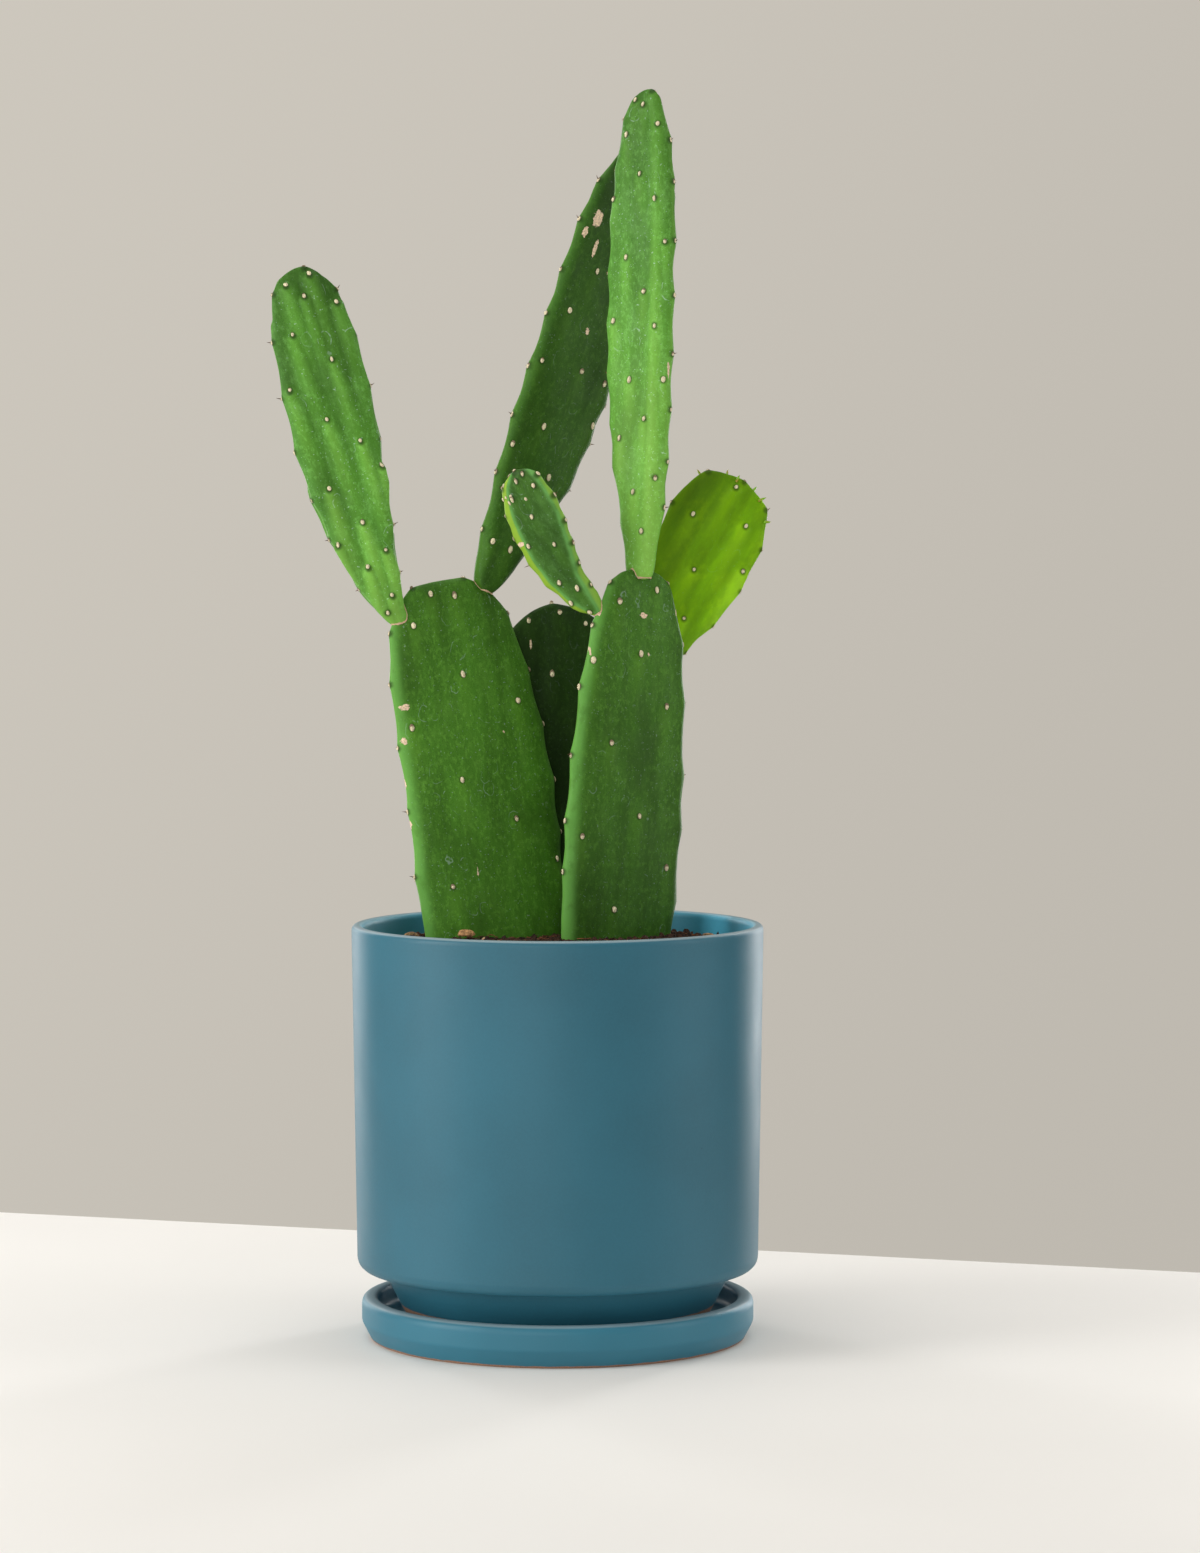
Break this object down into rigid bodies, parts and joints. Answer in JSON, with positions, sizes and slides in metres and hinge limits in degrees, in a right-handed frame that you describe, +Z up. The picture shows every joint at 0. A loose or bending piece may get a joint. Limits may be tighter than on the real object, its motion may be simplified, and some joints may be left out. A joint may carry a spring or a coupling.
{
  "type": "potted paddle cactus",
  "caption": "Paddle cactus with flat green pads growing from one another, in soil in a round glazed ceramic pot that stands on a matching saucer.",
  "frame": {"origin": "centre of the saucer's flat underside, on the pot's axis", "axes": "+Z up along the pot's axis, -Y towards the front, where the widest view of the pads is, +X to the right"},
  "size_m": [0.245, 0.203, 0.6128],
  "materials": {
    "teal_glaze": "satin blue-green glaze, bare clay at the foot",
    "potting_soil": null,
    "old_pad": "waxy dark green cactus skin with small cream areoles",
    "grown_pad": "waxy mid green cactus skin with small cream areoles",
    "young_pad": "bright yellow-green new growth",
    "young_leaf": "soft yellow-green leaf",
    "bark": "dry tan bark"
  },
  "bodies": {
    "root": {"saucer": "teal_glaze", "pot": "teal_glaze", "soil": "potting_soil", "left_base_pad": "old_pad", "right_base_pad": "old_pad", "rear_base_pad": "old_pad", "tall_rear_pad": "old_pad", "left_arm_pad": "grown_pad", "tall_front_pad": "grown_pad", "small_front_pad": "grown_pad", "young_right_pad": "young_pad", "young_leaf_1": "young_leaf", "young_leaf_2": "young_leaf", "young_leaf_3": "young_leaf", "young_leaf_4": "young_leaf", "young_leaf_5": "young_leaf", "young_leaf_6": "young_leaf", "bark_chip_1": "bark", "bark_chip_2": "bark", "bark_chip_3": "bark", "bark_chip_4": "bark", "bark_chip_5": "bark"}
  },
  "joints": []
}
